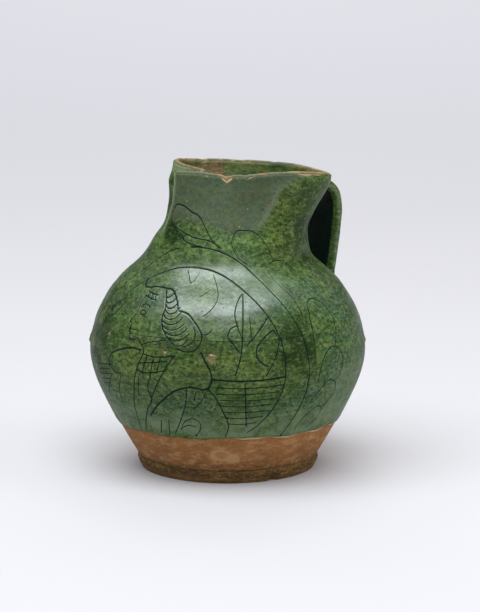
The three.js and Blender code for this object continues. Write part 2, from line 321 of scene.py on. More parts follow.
def clay_finish(name, body, dark, pale, stain, grime_grain=420.0):
    material, tree, shader = new_material(name, 0.85, 0.2)
    patches = clouded(tree, grain=38.0, start=0.36, end=0.66)
    coarse = clouded(tree, grain=330.0, roughening=0.75, start=0.42, end=0.6)
    wiped = clouded(tree, grain=190.0, roughening=0.65, stretch=(0.55, 0.55, 1.3), start=0.47, end=0.66)
    grains = specked(tree, grain=330.0, size=0.34, few=0.8)
    holes = specked(tree, grain=300.0, size=0.22, few=0.8)
    grime = clouded(tree, grain=grime_grain, roughening=0.7, stretch=(0.45, 0.45, 1.2), start=0.3, end=0.7)
    stained = stepped(tree, sum_of(tree, "ADD", painted(tree, "stained"), grime), 0.75, 1.15)
    colour = layered(tree, body, [
        (patches, 0.7, dark), (coarse, 0.58, dark), (wiped, 0.58, pale),
        (painted(tree, "scuffed"), 0.8, pale), (grains, 0.7, pale),
        (stained, 0.85, stain), (holes, 0.6, (0.03, 0.02, 0.012)),
    ])
    coloured(tree, shader, colour)
    rough = sum_of(tree, "ADD", times(tree, wiped, 0.6), minus(tree, grains, holes))
    rough = sum_of(tree, "ADD", rough, times(tree, coarse, 0.5))
    bumped(tree, shader, rough, 0.0004, 0.8)
    return material


bare_clay = clay_finish(
    "bare_clay", body=(0.335, 0.146, 0.048), dark=(0.21, 0.093, 0.03), pale=(0.46, 0.27, 0.115),
    stain=(0.125, 0.074, 0.03),
)
rim_clay = clay_finish(
    "rim_clay", body=(0.29, 0.175, 0.08), dark=(0.19, 0.13, 0.06), pale=(0.42, 0.31, 0.18),
    stain=(0.105, 0.13, 0.078),
)
FINE_STEP = 1.5


def wall_rows(outs, low, high, step=2.0):
    count = max(2, round((high - low) / step) + 1)
    return [on_wall(angles, z, outs(z)) for z in np.linspace(low, high, count)]


def outside(z):
    return 0.0


def inside(z):
    return -(WALL + (RIM_WALL - WALL) * ease((z - NECK) / (RIM - NECK)))


bowl_floor = FOOT_TOP + JOINT + FLOOR
low_edge = ((-0.25, -0.3), (0.2, -0.1), (0.9, 0.0))
rows = [on_wall(angles, FOOT_TOP + JOINT + rise, out) for rise, out in low_edge]
rows += wall_rows(outside, FOOT_TOP + 2.2, BELLY_SEAM, FINE_STEP)
rows += wall_rows(inside, bowl_floor, BELLY_SEAM)[::-1]
lower_bowl = make_piece("lower_bowl_clay", *turned(rows, False), bare_clay, "bare_clay", ["lower_bowl"])
upper_low = BELLY_SEAM + JOINT
rows = wall_rows(outside, upper_low, NECK_ROOT) + wall_rows(inside, upper_low, NECK_ROOT)[::-1]
make_piece("upper_bowl_clay", *turned(rows, True), bare_clay, "bare_clay", ["upper_bowl"])
crown = [
    on_wall(angles, RIM, -RIM_WALL / 2 * (1 - math.cos(bend)), RIM_CROWN * math.sin(bend))
    for bend in np.linspace(0, math.pi, 9)
]
neck_low = NECK_ROOT + JOINT
rows = wall_rows(outside, neck_low, RIM, FINE_STEP)[:-1] + crown
rows += wall_rows(inside, neck_low, RIM, FINE_STEP)[-2::-1]
neck = make_piece("neck_clay", *turned(rows, True), rim_clay, "bare_clay", ["neck"])

# Grime low on the bare band, two pale scars where other pots touched it, and a film of glaze on the rim.
# Scars: degrees from the spout, height, half width, half height, and how pale the middle is
SCARS = [(46, 21.3, 7.2, 5.4, 0.35), (52.5, 18.8, 5.0, 4.0, 1.0)]
angle, radius, z = spots(lower_bowl)
paint(lower_bowl, "stained", 0.48 * ease((FOOT_TOP + 9 - z) / 9))
scuffed = np.zeros(len(z))
uneven = 0.22 * wavering(angle, z, 0.3, 0.3, 2)
for at, level, wide, high, middle in SCARS:
    away = np.hypot((angle - at) * np.radians(radius) / wide, (z - level) / high) + uneven
    paleness = middle + (1 - middle) * ease((away - 0.45) / 0.35)
    scuffed = np.maximum(scuffed, ease((1.1 - away) / 0.25) * paleness)
paint(lower_bowl, "scuffed", scuffed)
angle, radius, z = spots(neck)
# Where the rim's film is rubbed off: degrees from the spout, half width, share
RUBBED = [(49, 9, 0.75), (84, 8, 0.4), (118, 14, 0.65), (158, 20, 0.6), (248, 34, 0.5), (312, 24, 0.65)]
bare = sum(share * ease(1.6 - turned_from(angle, at) / half) for at, half, share in RUBBED)
paint(neck, "stained", 0.95 - bare)


# The foot: a thick clay disc pressed on under the bowl, its edge swollen and nicked with wear.
# The same red earthenware, darkened by smoke and grime. The bowl stands on it and is luted all round.
FOOT_RADIUS = 58.0
FOOT_SWELL = 2.6
FOOT_EDGE_TURN = 150
NICK_AT, NICK_HALF, NICK_DEPTH = 80.0, 4.0, 4.5
foot_clay = clay_finish(
    "foot_clay", body=(0.2, 0.104, 0.034), dark=(0.125, 0.066, 0.02), pale=(0.27, 0.165, 0.064),
    stain=(0.055, 0.035, 0.012), grime_grain=750.0,
)


def foot_row(share):
    round_edge = FOOT_RADIUS + FOOT_SWELL * math.sin(math.radians(FOOT_EDGE_TURN) * share)
    row = []
    for angle in angles:
        a = math.radians(angle)
        wear = 1.1 * abs(noise.noise((2.2 * math.cos(a), 2.2 * math.sin(a), share)))
        wear += 0.5 * abs(noise.noise((9 * math.cos(a), 9 * math.sin(a), 2 * share)))
        nick = NICK_DEPTH * max(0.0, 1 - abs(angle - NICK_AT) / NICK_HALF) * (1 - share)
        radius = round_edge - (wear + nick) * math.sin(math.pi * min(1.0, 0.25 + share))
        row.append((radius * math.sin(a), -radius * math.cos(a), share * FOOT_TOP))
    return np.array(row) * MM


rows = [foot_row(share) for share in np.linspace(0, 1, 14)]
foot = make_piece("foot_disc_clay", *turned(rows, False), foot_clay, "foot_clay", ["foot_disc"])
angle, radius, z = spots(foot)
smoked = 0.42 * np.exp(-((z - 0.6 * FOOT_TOP) / 2.2) ** 2)
paint(foot, "stained", 0.16 + smoked + 0.35 * wavering(angle, z, 0.06, 0.2, 1))


# The slip: a thin coat of pale liquid clay poured over the jug, down to a line above the foot, before the
# picture was scratched. It shows as a light line under the glaze's edge, and round the chip in the rim.
COAT_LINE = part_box("glaze_coat")[0][2] / MM
COAT_TOP = RIM - 0.2
SLIP = 0.5
EDGE_BLEND = 12.0
BREAK_BLEND = 9.0
# Where the coats have broken off below the rim: degrees from the spout, half width in degrees, depth
BREAKS = [(49, 8, 3.2), (72, 6, 0.7), (25, 9, 0.6), (60, 4, 0.6), (112, 14, 1.2)]
pale_slip, tree, shader = new_material("pale_slip", 0.7, 0.3)
tone = washed(tree, (0.50, 0.40, 0.23), clouded(tree, grain=160.0, end=0.7), 1.0, (0.34, 0.25, 0.12))
coloured(tree, shader, tone)
bumped(tree, shader, clouded(tree, grain=900.0), 0.0002)


def glaze_edge(angle):
    a = np.radians(angle)
    waves = 0.9 * np.sin(2 * a - 0.9) + 0.5 * np.sin(7 * a + 1)
    return waves + 0.3 * np.sin(17 * a) + 0.2 * np.sin(41 * a + 2)


# Degrees from the spout between which slip shows below the glaze
SHOWS_FROM, SHOWS_TO = 42, 150


def slip_edge(angle):
    bared = ease((angle - SHOWS_FROM) / 14) * ease((SHOWS_TO - angle) / 20)
    return glaze_edge(angle) + 0.8 - 2.2 * bared * (0.75 + 0.25 * np.sin(np.radians(19 * angle)))


def coat_height(angle, z, low_edge, spared=0.0):
    low = low_edge(angle) * (1 - ease((z - COAT_LINE) / EDGE_BLEND))
    broken = np.maximum(notched(angle, BREAKS) - spared, 0)
    return z + low - broken * ease((z - COAT_TOP + BREAK_BLEND) / BREAK_BLEND)


SKIN_GAP = 0.05
BREAK_SPARED = 1.9


def slip_row(z, out):
    return on_wall(angles, coat_height(angles, z, slip_edge, BREAK_SPARED), out)


heights = np.linspace(COAT_LINE, COAT_TOP - 0.9, 70)
rows = [slip_row(z, SLIP) for z in heights] + [slip_row(z, SKIN_GAP) for z in heights[::-1]]
make_piece("slip_skin", *turned(rows, True), pale_slip, "pale_slip", ["slip_coat"])


# The glaze: copper green lead glaze over the slip, with the picture scratched under it. Glaze pools dark in
# every scratched line, runs thin and yellow on high spots, and stops at a wavy line above the foot. Some of
# its dark and pale patches are painted shade and painted light.
# The picture: a lady's bust in a ring, with a fence, plants, and petals all round.
GLAZE = 1.5
PICTURE_RADIUS = 90
AROUND = math.radians(1) * PICTURE_RADIUS
FINE, PLAIN, BOLD = 0.95, 1.2, 1.7
FAINT, HAIRLINE = (0.8, 0.3), (0.7, 0.25)
strokes = []


def scratch(points, width=PLAIN, depth=0.45):
    strokes.append((np.array(points, float), width, depth))


def ring_point(turn, half_width, half_height, level):
    c, s = math.cos(math.radians(turn)), math.sin(math.radians(turn))
    return (MIDDLE + half_width * math.copysign(abs(c) ** RING_SQUARE, c),
            level + half_height * math.copysign(abs(s) ** RING_SQUARE, s))


# Two rings round the bust, each drawn in two pulls of the point: half width, half height, level
MIDDLE = 27
RING_SQUARE = 0.88
INNER = (47, 58.5, 84)
OUTER = (58, 76, 79)
for ring, right, left in ((INNER, (95, -54, -8), (96, 172, 8)), (OUTER, (94, -38, -7), (102, 168, 8))):
    scratch([ring_point(turn, *ring) for turn in range(*right)])
    scratch([ring_point(turn, *ring) for turn in range(*left)], FINE)

# Petals outside the rings; the lower ones are drawn again on the far side
scratch([(2, 167), (-1, 172), (2, 178), (8, 178), (15, 175), (24, 172), (30, 167), (36, 161), (44, 155)])
scratch([(2, 167), (20, 161), (39, 158), (45, 155)], FINE)
scratch([(2, 167), (16, 158), (30, 155.5)], FINE)
scratch([(63, 145), (56, 151), (53, 158), (56, 164), (64, 165.5), (72, 164), (79, 157), (83, 146)], FINE)
scratch([
    (86, 114), (85, 123), (78, 137), (77, 142), (80, 144.5), (86, 146), (93, 144), (98, 137), (101, 127),
], FINE)
for petal in [
    [(88, 85), (89, 97), (90, 112), (92, 121), (95, 122.5), (100, 120), (104, 111), (103, 100), (101, 93)],
    [(90, 71), (91, 79), (94, 88), (98, 92), (102, 91), (105, 82), (103, 73), (100, 69)],
    [(88, 57), (92, 65), (96, 70), (100, 69), (102, 63), (97, 52)],
    [(84, 37.5), (86, 44), (90, 50), (94, 53), (97, 50), (96, 44), (91, 38)],
]:
    scratch(petal, FINE)
    scratch([(2 * MIDDLE - angle, z) for angle, z in petal], FINE)

# A fence to the right of the bust, and a short one behind its shoulder
scratch([(43.5, 77), (52, 76), (63, 76), (73.5, 77.2)], BOLD)
for rail in range(7):
    z = 71.5 - 4.3 * rail
    right = MIDDLE + INNER[0] * math.sqrt(1 - ((INNER[2] - z) / INNER[1]) ** 2)
    scratch([(45 + 0.8 * rail, z), (56, z - 0.6), (right - 0.6 * (rail % 2), z + 0.3)], FINE)
scratch([(57, 74), (57.5, 60), (58.5, 44)])
for rail in range(5):
    scratch([(-19 + 0.6 * rail, 75.5 - 3.2 * rail), (-6 - 0.8 * rail, 78.5 - 3.4 * rail)], FINE)
scratch([(-6, 72), (-11, 63), (-15, 56)], FINE)

# Plants beside the fence
scratch([(58, 128.5), (57, 116), (56.3, 104), (55.5, 93), (53, 80)])
scratch([(57.3, 128.5), (54.5, 123), (53.3, 117), (54.3, 110), (56, 103)], FINE)
scratch([(54.3, 110.5), (51, 108), (50, 104), (52, 100), (55, 94)])
scratch([(68, 114), (63, 106), (58, 98.5)])
scratch([(70, 107), (65, 102), (62, 96), (62, 91), (66, 85)])
scratch([(70, 107), (72, 101), (71, 95), (66, 80)], FINE)
scratch([(-24, 115), (-22, 122), (-18, 126), (-16, 124), (-17, 112)], FINE)
scratch([(-14, 105), (-15, 112), (-12, 118), (-9, 120), (-9, 115), (-13, 109)], FINE)

# Faint twigs above the hair and beside the tall plant
scratch([(41, 139), (43, 135), (45, 128), (44.8, 125.5), (43, 121), (39, 116)], *FAINT)
scratch([(23, 141), (26, 137), (28, 134), (31.5, 139)], *HAIRLINE)
scratch([(36, 127), (40, 130.5)], *HAIRLINE)
scratch([(60, 114.5), (60, 109), (60, 103.5)], *FAINT)

# Short hatching at the root of the large petal
scratch([(7, 164), (12, 161.5), (15, 158.5)], *FAINT)
scratch([(8.5, 161.5), (12.5, 158)], *FAINT)
scratch([(5, 167), (8, 162.5)], *HAIRLINE)

# A ring left by the thrower's finger
scratch([(9, 101), (30, 101.5), (55, 101), (84, 102)], width=0.5, depth=0.1)

# The bust's hair: a smooth crown, and one thick roll wound with a ribbon, hanging down the back
scratch([(-3, 133), (-1, 130), (3, 129), (8, 130), (14, 130), (20, 129), (24, 124), (26, 119)])
roll_left = smooth_through([(0, 15.5), (0.3, 19), (0.55, 19), (0.8, 22), (1, 27)])
roll_right = smooth_through([(0, 20.5), (0.3, 26), (0.55, 29), (0.8, 32.5), (1, 33)])
for band in range(10):
    share = (band + 0.4) / 10
    z = 129 - 31 * share
    left, right = roll_left(share), roll_right(share)
    wide = right - left
    scratch([(left, z), (left + 0.35 * wide, z - 2.6), (left + 0.7 * wide, z - 2), (right, z + 1.6)], FINE)
scratch([(roll_left(share), 129 - 31 * share) for share in np.linspace(0, 1, 7)])
scratch([(27, 118), (32, 116), (35, 112), (38, 107), (39, 103), (38, 98), (36, 95), (32, 94), (28, 96)])
scratch([(35, 109), (36, 104), (35, 100), (31, 97)], FINE)
scratch([(39, 105), (41, 105), (43, 108)], FINE)

# A narrow ribbon across the hair above the forehead
for edge in (127.2, 124.4):
    scratch([(4.6, edge), (8, edge - 1.1), (12, edge - 1.5)], FINE)
for tie in range(3):
    scratch([(5.4 + 2.6 * tie, 127 - 0.5 * tie), (6.2 + 2.6 * tie, 123.9 - 0.5 * tie)], FINE)

# A plain face in profile on the schoolbook thirds: hairline to brow, brow to nose, nose to chin
CHIN, THIRD = 98.0, 9.6
FACE = 3.4
PROFILE_WIDTH = 1.1
profile = [(1.0, 2.95), (0.35, 2.45), (0.25, 2.05), (0.75, 1.85), (-0.6, 1.35), (-1.9, 1.08), (-0.2, 0.96),
           (-0.1, 0.84), (-0.75, 0.72), (0.1, 0.62), (-0.5, 0.5), (0.5, 0.38), (0.2, 0.12), (1.2, -0.02),
           (3.6, 0.0), (5.6, 0.14)]
lips = [(0.15, 0.62), (2.6, 0.6)]
brow = [(1.9, 2.12), (3.8, 2.26), (6.4, 2.16)]
upper_lid = [(1.9, 1.72), (3.6, 1.88), (6.2, 1.7)]
lower_lid = [(1.9, 1.72), (3.8, 1.6), (6.2, 1.7)]
for feature in (profile, lips, brow, upper_lid, lower_lid):
    width = PROFILE_WIDTH if feature is profile else FINE
    scratch([(FACE + out, CHIN + THIRD * up) for out, up in feature], width)

# Neck, shoulder and dress: a chequered yoke, a laced bodice and a full sleeve
scratch([(9, 99), (11, 96), (13, 92), (13, 89.5)])
scratch([(11, 95), (14, 97), (19, 99), (23, 100)], FINE)
scratch([(11, 92), (7, 92.5), (3, 91.5), (-1, 89.5), (-6, 86)], BOLD)
scratch([(-6, 86), (-7.5, 82), (-7, 78), (-4, 75), (0, 74)])
scratch([(13, 90), (17, 89), (22, 89.3), (28, 91)])
scratch([(12, 84), (17, 85), (24, 87)])
scratch([(10, 79), (13, 78), (19, 79), (24, 81)])
scratch([(15.3, 89.5), (13, 78.5)])
scratch([(18.3, 89), (17, 76.5)])
scratch([(21.6, 89.2), (20.2, 79.5)])
scratch([(27.5, 90.5), (24, 82), (21, 74), (18, 66), (16, 61)])
scratch([(13, 90), (11, 83), (9, 75), (7, 64), (4, 51), (3, 42), (2, 35.5)])
scratch([(17, 76), (15, 66), (16, 61), (12, 52), (8, 42), (6, 36)])
scratch([(11, 75), (10, 68), (9, 61)], FINE)
scratch([(0, 71), (-4, 57), (-4, 49)], FINE)
scratch([
    (13, 48), (16, 53), (22, 61), (28, 68), (34, 71), (42, 71), (43.5, 76), (43, 82), (41, 88), (39, 94),
], BOLD)
scratch([(42, 71), (45, 64), (48, 54), (50, 47), (50, 40), (49, 36)])
scratch([(33, 70), (32, 60), (29, 49), (24, 37)])
scratch([(41, 68), (39, 62), (36, 57)], FINE)
scratch([(37, 68), (36, 63)], FINE)
scratch([(18, 45), (15.5, 36)])
scratch([(22, 46), (20.5, 36)], FINE)
scratch([(28, 42), (31, 47), (35, 48.5), (37.5, 45), (37, 41), (35, 37)], FINE)
scratch([(28, 41), (31.5, 43.5), (34.5, 43)], FINE)
for u, v in ((32, 53), (37, 51)):
    turns = np.radians(range(0, 361, 45))
    scratch([(u + 0.55 * math.cos(turn), v + 0.9 * math.sin(turn)) for turn in turns], FAINT[0])

# Spalls, where the glaze has burst off: degrees, height, radius
SPALLS = [
    (23, 93.5, 2.6), (43.5, 91, 3.4), (-11, 97, 1.6), (86, 181, 1.2), (81, 176, 0.9), (27, 88, 1.1),
    (37, 69, 1.0),
]

# Lumps where the jug touched others in the kiln: degrees, height, radius, rise
LUMPS = [(-40, 86, 4.2, 0.7), (139, 85, 2.4, 0.6)]

# Where the glaze turns olive (above zero) or bluish: degrees, height, half width, half height, amount.
# The bluish patch at 80 degrees and 128 mm high is a painted reflection of the overhead lamp.
TINTS_AND_PAINTED_SHEEN = [
    (-7, 100, 22, 18, 0.5), (40, 88, 34, 15, 0.6), (109, 90, 18, 34, -0.75), (72, 88, 16, 16, 0.3),
    (98, 152, 16, 18, 0.6), (98, 176, 12, 24, 0.8), (10, 130, 20, 14, -0.4), (27, 50, 200, 20, -0.7),
    (60, 112, 20, 14, -0.3), (80, 128, 16, 10, -0.8), (25, 163, 8, 5, 0.6), (125, 70, 20, 30, -0.4),
    (-30, 70, 16, 30, -0.5),
]

# Where the glaze is darker (above zero) or paler, in the same order. Partly real glaze depth; the dark
# patches on the belly's left side, at the leaf's lower corner, on the neck's right beside the handle and on
# the far side of the spout are painted shade, and the pale ones on the shoulder and round the low belly are
# painted light.
DEPTHS_AND_PAINTED_LIGHT = [
    (-20, 93, 15, 32, 0.65), (4, 163, 9, 8, 1.1), (80, 95, 12, 24, 0.75), (118, 160, 26, 32, 0.6),
    (-78, 174, 19, 26, 0.6), (27, 40, 300, 14, -0.42), (100, 118, 14, 14, -0.2), (48, 146, 20, 8, -0.4),
    (78, 130, 15, 10, -0.55), (107, 68, 14, 20, -0.3),
]


def along_stroke(points, step):
    flat = points * (AROUND, 1)
    runs = np.concatenate([[0], np.cumsum(np.linalg.norm(np.diff(flat, axis=0), axis=1))])
    marks = np.linspace(0, runs[-1], max(3, round(runs[-1] / step) + 1))
    if len(points) == 2:
        return np.stack([np.interp(marks, runs, way) for way in flat.T], -1)
    return np.stack([smooth_through(np.stack([runs, way], -1))(marks) for way in flat.T], -1)


# The coat is laid out flat, cut along every line, and then wrapped round the jug
GRID = 1.8
GRID_ROWS = 91
STROKE_STEP, SAMPLE_STEP = 1.1, 0.25
flat_points, ties = [], []
for points, width, depth in strokes:
    line = along_stroke(points, STROKE_STEP)
    ahead = np.gradient(line, axis=0)
    side = np.stack([-ahead[:, 1], ahead[:, 0]], -1) / np.linalg.norm(ahead, axis=1)[:, None] * width / 2
    first = len(flat_points)
    flat_points += line.tolist()
    ties += [(first + i, first + i + 1) for i in range(len(line) - 1)]
    for away in (1.0, 1.9):
        flat_points += (line + away * side).tolist() + (line - away * side).tolist()
for angle, z, radius in SPALLS + [lump[:3] for lump in LUMPS]:
    for ring, count in ((0.0, 1), (0.3, 6), (0.6, 10), (0.85, 14), (1.05, 16), (1.3, 16)):
        for turn in np.arange(count) * 2 * math.pi / count:
            reach = radius * ring
            flat_points.append((angle * AROUND + reach * math.cos(turn), z + reach * math.sin(turn)))

taken = kdtree.KDTree(len(flat_points))
for i, (u, v) in enumerate(flat_points):
    taken.insert((u, v, 0), i)
taken.balance()
all_round = np.arange(COLUMNS + 1) * 360 / COLUMNS - 180
for z in np.linspace(COAT_LINE, COAT_TOP, GRID_ROWS):
    for angle in all_round:
        on_edge = z in (COAT_LINE, COAT_TOP) or abs(angle) == 180
        if on_edge or taken.find((angle * AROUND, z, 0))[2] > 0.5 * GRID:
            flat_points.append((angle * AROUND, z))
flat, _, triangles, _, _, _ = delaunay_2d_cdt([Vector(p) for p in flat_points], ties, [], 0, 1e-4)
flat = np.array([tuple(p) for p in flat])

samples = [(along_stroke(points, SAMPLE_STEP), width, depth) for points, width, depth in strokes]
finder = kdtree.KDTree(sum(len(line) for line, _, _ in samples))
cuts = []
for line, width, depth in samples:
    for i, (u, v) in enumerate(line):
        taper = min(1.0, 0.35 + 0.12 * min(i, len(line) - 1 - i))
        finder.insert((u, v, 0), len(cuts))
        cuts.append((width * taper, depth * taper))
finder.balance()
incised, dug = np.zeros(len(flat)), np.zeros(len(flat))
BURR = 0.09
for i, (u, v) in enumerate(flat):
    _, which, away = finder.find((u, v, 0))
    width, depth = cuts[which]
    incised[i] = max(0.0, 1 - away / (width / 2))
    dug[i] = depth * incised[i] - BURR * math.exp(-((away - 0.65 * width) / (0.25 * width)) ** 2)

angle, z = flat[:, 0] / AROUND, flat[:, 1]
burst, swollen = np.zeros(len(flat)), np.zeros(len(flat))
ragged = wavering(angle, z, 1.1, 0.7, 6)
for at, level, radius in SPALLS:
    away = np.hypot((angle - at) * AROUND, z - level) / radius + 0.8 * ragged
    burst = np.maximum(burst, ease((1.1 - away) / 0.5))
for at, level, radius, rise in LUMPS:
    away = np.hypot((angle - at) * AROUND, z - level) / radius
    swollen = np.maximum(swollen, rise * ease(1.2 - away) * (1 + 1.5 * ragged))

# Where the neck was pressed flat beside the spout the glaze is thin, grey and dull, up to a fold; its grey
# also stands in for the sky's reflection on that flat face, a painted reflection.
fold = smooth_through([
    (150, 63), (164.5, 74), (173, 83), (179, 88), (185.5, 92), (190, 97.5), (193, 103.5), (197, 112),
])
hem = smooth_through([(-20, 172), (-8, 168), (21, 166), (35, 164), (53, 161), (75, 164), (110, 172)])
FOLD_RISE = 1.1
ripple = wavering(angle, z, 0.25, 0.3, 9)
up_neck = np.clip(z, 150, 197)
past_fold = angle - fold(up_neck)
greyed_and_sheen = ease((z + 3 * ripple - hem(np.clip(angle, -20, 110))) / 7)
greyed_and_sheen *= ease((1.5 * ripple - past_fold + 2) / 3) * ease((angle + 8) / 5)
ridge = np.exp(-(past_fold / np.where(past_fold < 0, 5.0, 2.2)) ** 2) * ease((z - 158) / 8)


def patched(patches):
    return sum(
        amount * np.exp(-((turned_from(angle, at) / wide) ** 2) - ((z - level) / high) ** 2)
        for at, level, wide, high, amount in patches
    )


toned_and_sheen = patched(TINTS_AND_PAINTED_SHEEN)
# Glaze depth together with painted shade and painted light, from the table above
depth_and_painted_light = patched(DEPTHS_AND_PAINTED_LIGHT) * (1 + 1.2 * wavering(angle, z, 0.16, 0.13, 13))

throwing = (np.sin(0.38 * z + 3 * wavering(angle, z, 0.03, 0.05, 0)) - 1) * ease((z - 84) / 14)
runs = 0.12 * wavering(angle, z, 0.06, 0.02, 4) - 0.12 + 0.12 * throwing
low_lip, top_lip = ease((z - COAT_LINE) / 1.2), ease((COAT_TOP - z) / 1.0)
thick = SLIP + 0.15 + (GLAZE - SLIP - 0.25) * (0.35 + 0.65 * low_lip * top_lip)
thick += (runs + swollen + FOLD_RISE * ridge) * low_lip * top_lip - dug - 0.7 * burst
worn_top = ease((z - COAT_TOP + 3) / 3) * (0.25 + 0.25 * np.sin(np.radians(31 * angle)))
outer = on_wall(angle, coat_height(angle, z, glaze_edge) - worn_top, thick)

TOUCH = 1e-3
seam_of = {}
for i in range(len(flat)):
    if abs(abs(angle[i]) - 180) < TOUCH:
        seam_of.setdefault(round(float(z[i]), 3), [None, None])[int(angle[i] > 0)] = i
weld = np.arange(len(flat))
for near, far in seam_of.values():
    weld[far] = near
faces = [tuple(int(weld[i]) for i in face) for face in triangles]
if sum(np.cross(flat[b] - flat[a], flat[c] - flat[a]) for a, b, c in triangles) < 0:
    faces = [face[::-1] for face in faces]

edge_angles = all_round[:-1]


def boundary(level):
    row = {round(float(angle[i]), 2): i for i in range(len(flat)) if abs(z[i] - level) < TOUCH}
    return [row[round(float(a), 2)] for a in edge_angles]


points = [outer]
loops = [boundary(COAT_LINE)]
for level in np.linspace(COAT_LINE, COAT_TOP, 30):
    first = sum(len(p) for p in points)
    worn = ease((level - COAT_TOP + 3) / 3) * 0.5
    height = coat_height(edge_angles, level, glaze_edge) - worn
    points.append(on_wall(edge_angles, height, SLIP + SKIN_GAP))
    loops.append(range(first, first + COLUMNS))
loops.append(boundary(COAT_TOP))
faces += banded(loops[::-1])

green_glaze, tree, shader = new_material("green_glaze", 0.45, 0.05)
shader.inputs["Coat IOR"].default_value = 1.9
shader.inputs["Coat Roughness"].default_value = 0.33
# Dark in scratched lines and at the glaze's low edge, and painted shade on the handle's inner face
inked_and_shaded = stepped(tree, painted(tree, "incised"), 0.1, 0.5)
spalled, dulled_and_sheen, worn = (painted(tree, name) for name in ("spalled", "greyed_and_sheen", "worn"))
drift = minus(tree, clouded(tree, grain=24.0, start=0.3, end=0.7), 0.5)
tone = sum_of(tree, "ADD", painted(tree, "toned_and_sheen"), drift)
olive, bluish_and_sheen = stepped(tree, tone, 0.0, 0.8), stepped(tree, tone, 0.0, -0.8)
depth = painted(tree, "depth_and_painted_light")
deep_and_shaded, thin_and_highlit = stepped(tree, depth, 0.0, 0.8), stepped(tree, depth, 0.0, -0.8)
mottle = clouded(tree, grain=75.0, roughening=0.75, stretch=(0.7, 0.7, 1.2), start=0.42, end=0.6)
yellowed = clouded(tree, grain=95.0, roughening=0.75, stretch=(0.6, 0.6, 1.2), start=0.49, end=0.6)
streaks = clouded(tree, grain=55.0, stretch=(0.22, 0.22, 3.2), start=0.5, end=0.66)
brushed = clouded(tree, grain=240.0, roughening=0.7, stretch=(0.45, 0.45, 1.2), start=0.44, end=0.58)
dark_grains = clouded(tree, grain=520.0, roughening=0.75, stretch=(0.75, 0.75, 1.0), start=0.53, end=0.43)
pale_grains = clouded(tree, grain=450.0, roughening=0.8, stretch=(0.65, 0.65, 1.1), start=0.5, end=0.66)
pale_grains = times(tree, pale_grains, minus(tree, 1.0, times(tree, deep_and_shaded, 0.3)))
dark_specks = specked(tree, grain=330.0, size=0.26, few=0.82)
pale_specks = specked(tree, grain=260.0, size=0.16, few=0.93)
ashy_sheen = clouded(tree, grain=70.0, roughening=0.75, start=0.4, end=0.62)
ashy_sheen = washed(tree, (0.066, 0.084, 0.060), ashy_sheen, 1.0, (0.070, 0.076, 0.045))
crumbly = clouded(tree, grain=700.0, start=0.45, end=0.55)
scar = washed(tree, (0.21, 0.13, 0.075), crumbly, 1.0, (0.12, 0.11, 0.05))
colour = layered(tree, (0.082, 0.149, 0.033), [
    (olive, 0.9, (0.117, 0.152, 0.029)),
    # Bluish glaze, and the painted lamp reflection on the shoulder's right
    (bluish_and_sheen, 0.9, (0.066, 0.136, 0.070)),
    (yellowed, 0.6, (0.150, 0.190, 0.045)),
    (mottle, 0.6, (0.028, 0.066, 0.015)),
    (brushed, 0.5, (0.022, 0.050, 0.010)),
    (streaks, 0.45, (0.028, 0.046, 0.011)),
    (dark_grains, 0.8, (0.009, 0.028, 0.004)),
    # Deep glaze and painted shade
    (deep_and_shaded, 0.9, (0.010, 0.026, 0.004)),
    (pale_grains, 0.58, (0.195, 0.245, 0.110)),
    # Thin glaze and painted light
    (thin_and_highlit, 0.85, (0.150, 0.205, 0.110)),
    # Dull grey glaze with a painted sky reflection on the flat beside the spout
    (dulled_and_sheen, 0.72, ashy_sheen),
    # Pale worn glaze, with painted highlights along the fold and the lobe's edge
    (worn, 0.8, (0.20, 0.23, 0.13)),
    (dark_specks, 0.7, (0.010, 0.020, 0.008)),
    (pale_specks, 0.6, (0.42, 0.42, 0.28)),
    # Dark lines, and painted shade on the handle's inner face
    (inked_and_shaded, 0.95, (0.004, 0.011, 0.012)),
    (stepped(tree, spalled, 0.35, 0.65), 1.0, scar),
])
coloured(tree, shader, colour)

# The thrower's bands stay glossy on the shoulder; elsewhere the surface is weathered and dull
glossy = clouded(tree, grain=42.0, roughening=0.65, stretch=(0.35, 0.35, 1.6), start=0.36, end=0.58)
glossy = out_of(tree, "ShaderNodeMapRange", {"Value": glossy, "To Min": 0.42, "To Max": 1.0})
kept = [minus(tree, 1.0, dull) for dull in (inked_and_shaded, spalled, dark_specks)]
tree.links.new(times(tree, glossy, painted(tree, "glossed"), *kept), shader.inputs["Coat Weight"])
orange_peel = clouded(tree, grain=420.0, start=0.2, end=0.8)
ripples = sum_of(tree, "ADD", orange_peel, times(tree, streaks, 0.4))
bumped(tree, shader, minus(tree, ripples, dark_specks), 0.0003, 0.38)

glaze = make_piece("glaze_skin", np.concatenate(points), faces, green_glaze, "green_glaze", ["glaze_coat"])
hidden = np.zeros(len(glaze.data.vertices) - len(flat))
pooled = np.maximum(incised, 0.3 * (1 - ease((z - COAT_LINE) / 1.6)))
